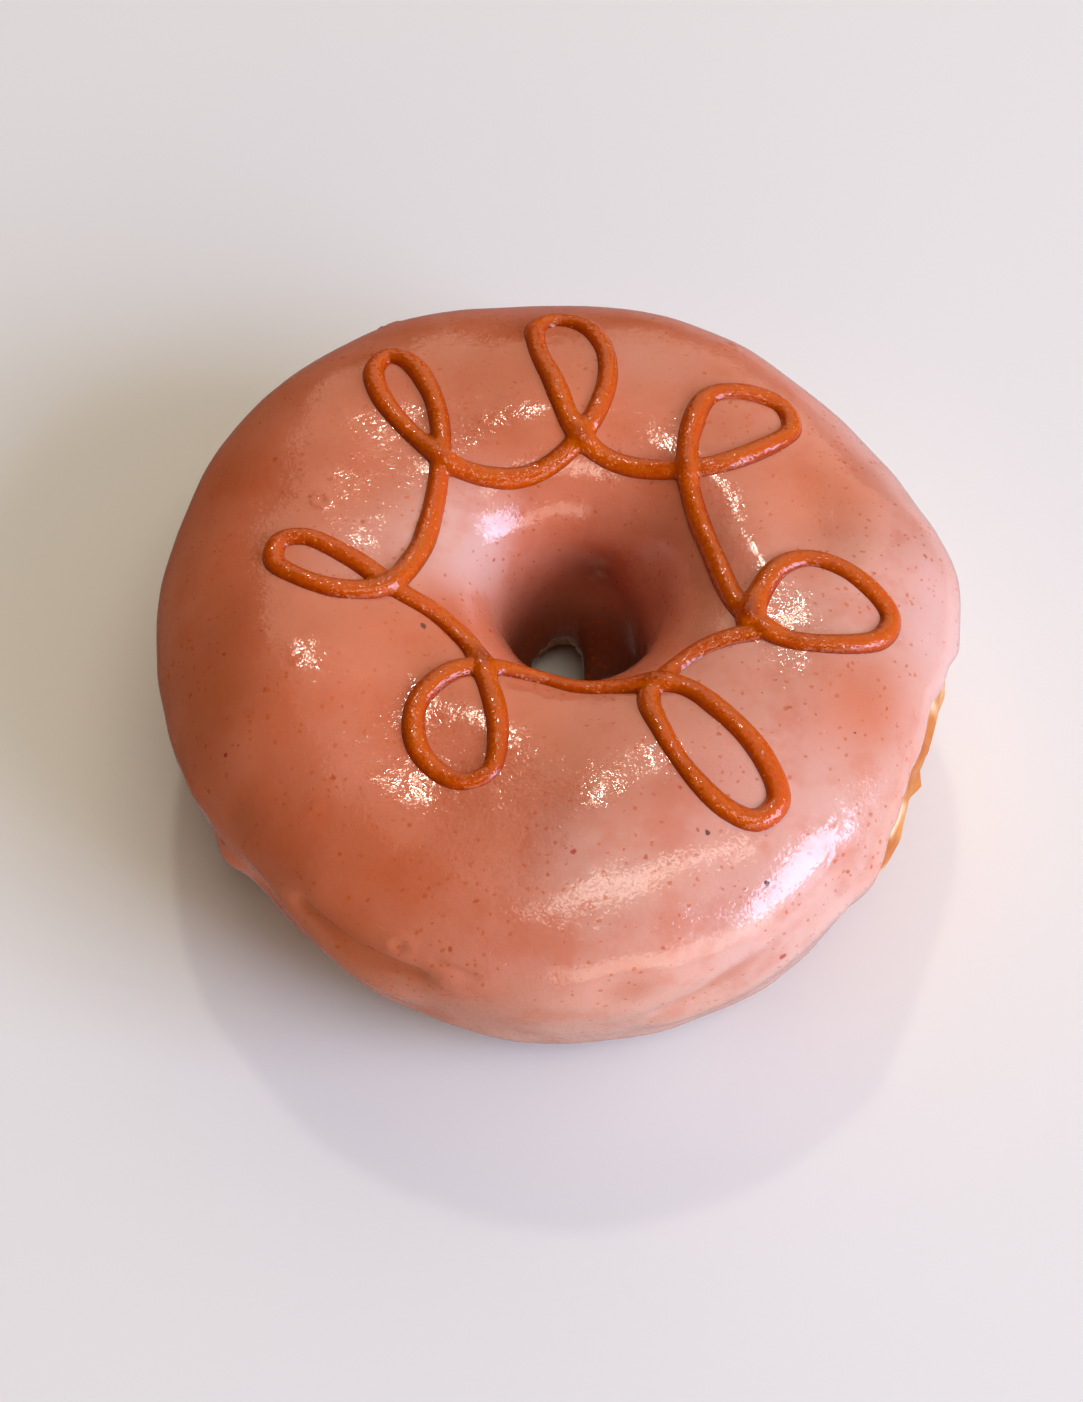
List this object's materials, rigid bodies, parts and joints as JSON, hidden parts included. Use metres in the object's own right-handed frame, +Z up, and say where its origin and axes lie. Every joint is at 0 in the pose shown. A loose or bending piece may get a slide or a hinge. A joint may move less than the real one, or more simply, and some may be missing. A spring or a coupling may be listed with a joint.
{
  "type": "ring doughnut",
  "caption": "Ring doughnut of fried dough with an off-centre hole, a set glaze over its top and flanks, and a line of caramel piped over the glaze in loops.",
  "frame": {"origin": "under the middle of the doughnut's bounding box, on the surface that it rests on", "axes": "+Z up; -Y is the front, where the glaze runs lowest in one even flank; +X is the side where the glaze stops high and bare dough shows"},
  "size_m": [0.0986, 0.103, 0.0406],
  "materials": {
    "dough": "fried yeast dough, matt and browned, paler round the waist",
    "glaze": "set sugar glaze, pinkish tan, glossy with a fine sugar grain",
    "caramel": "piped caramel, orange-brown, glossy and slightly translucent"
  },
  "bodies": {
    "root": {"dough_ring": "dough", "glaze_coat": "glaze", "caramel_line": "caramel"}
  },
  "joints": []
}
